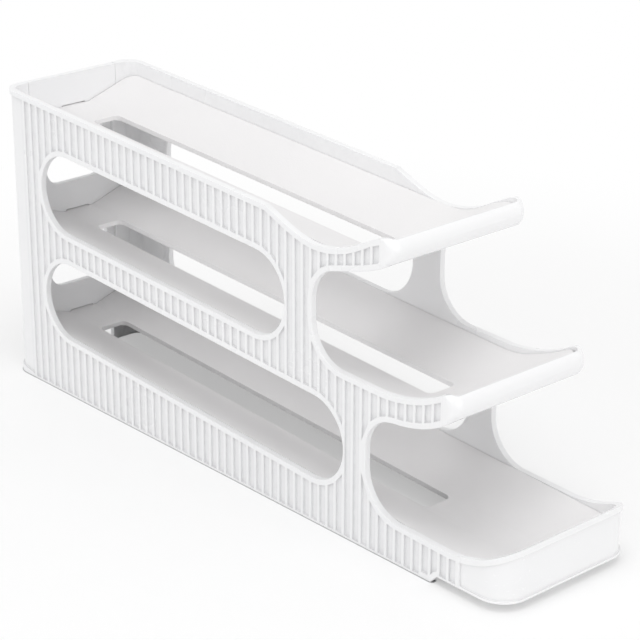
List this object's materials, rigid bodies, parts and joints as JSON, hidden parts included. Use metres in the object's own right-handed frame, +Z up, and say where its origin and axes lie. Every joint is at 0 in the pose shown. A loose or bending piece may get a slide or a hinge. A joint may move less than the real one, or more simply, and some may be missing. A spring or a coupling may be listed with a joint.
{
  "type": "rolling egg dispenser",
  "caption": "Tiered egg rack with sloping slotted tracks between fluted side panels, open slot windows and raised front bars where rolling eggs stop.",
  "frame": {"origin": "on the table under the middle of the rack's overall box", "axes": "+X towards the front where the eggs stop, +Y across the rack to its right side panel, +Z up"},
  "size_m": [0.31, 0.072, 0.134],
  "materials": {
    "white_plastic": "smooth satin white moulding"
  },
  "bodies": {
    "root": {"left_side_panel": "white_plastic", "right_side_panel": "white_plastic", "back_panel": "white_plastic", "top_track": "white_plastic", "middle_track": "white_plastic", "bottom_track": "white_plastic", "top_front_bar": "white_plastic", "middle_front_bar": "white_plastic", "tray_front": "white_plastic"}
  },
  "joints": []
}
